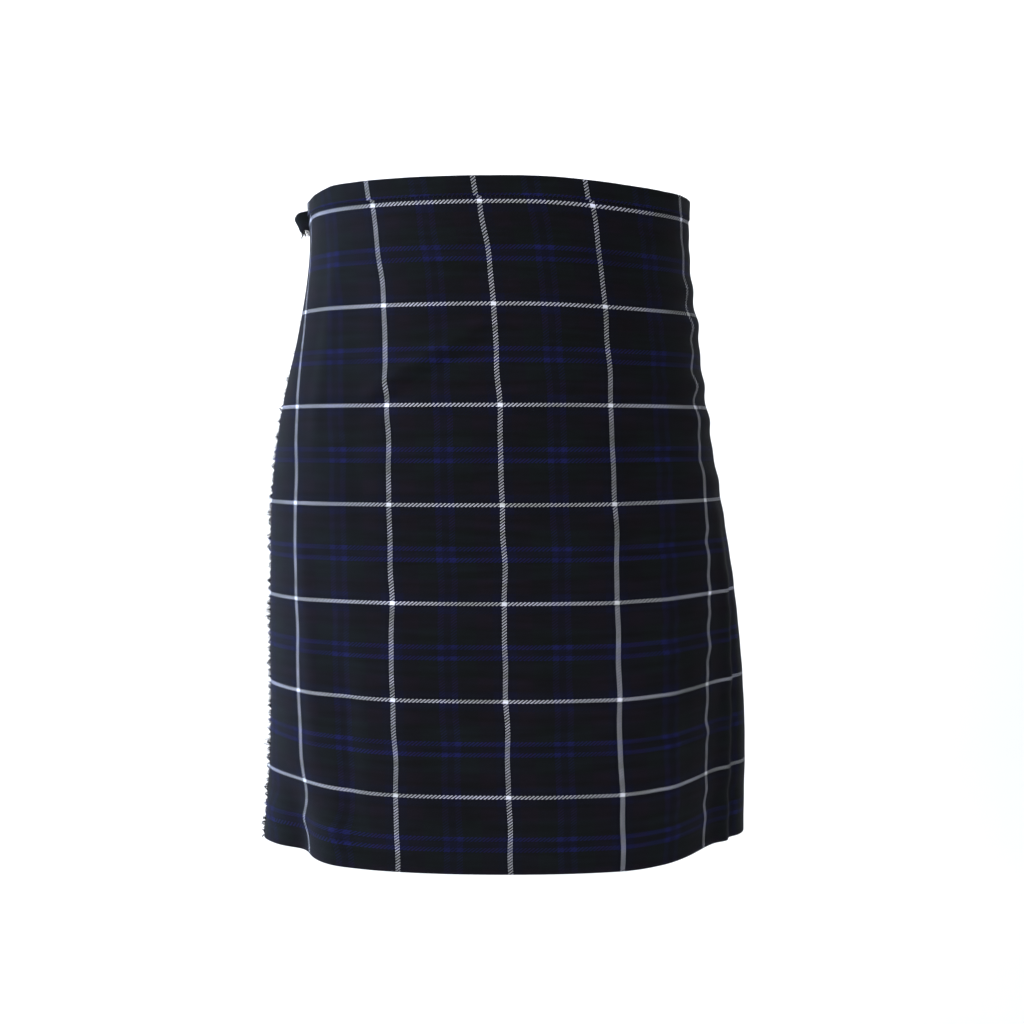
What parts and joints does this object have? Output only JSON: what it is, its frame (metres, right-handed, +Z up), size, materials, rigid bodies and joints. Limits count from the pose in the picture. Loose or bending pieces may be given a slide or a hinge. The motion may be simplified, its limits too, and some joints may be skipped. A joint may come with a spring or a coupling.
{
  "type": "scottish kilt",
  "caption": "Knee-length tartan kilt, filled out as if worn: flat overlapping aprons in front, knife pleats behind, narrow waistband and leather hip straps with buckles; open at waist and hem.",
  "frame": {"origin": "middle of the waist opening, half way down the waistband, where the wearer's waist holds the kilt", "axes": "+Z up out of the waist; the wearer faces -Y, so the outer apron is on the -Y side and the pleats on the +Y side; +X is the wearer's left"},
  "size_m": [0.4545, 0.2863, 0.6121],
  "materials": {
    "tartan": "twill weave, matt, very dark navy, green and black with blue and white lines",
    "leather": "black, semi-matt",
    "buckle_metal": "polished"
  },
  "bodies": {
    "root": {"outer_apron": "tartan", "apron_fringe": "tartan", "pleats_left": "tartan", "pleats_back": "tartan", "pleats_right": "tartan", "under_apron": "tartan", "waistband_front": "tartan", "waistband_back": "tartan", "waistband_under": "tartan", "strap_left": "leather", "buckle_tab_left": "leather", "strap_keeper_left": "leather", "strap_right": "leather", "buckle_tab_right": "leather", "strap_keeper_right": "leather", "buckle_frame_left": "buckle_metal", "buckle_prong_left": "buckle_metal", "buckle_frame_right": "buckle_metal", "buckle_prong_right": "buckle_metal"}
  },
  "joints": []
}
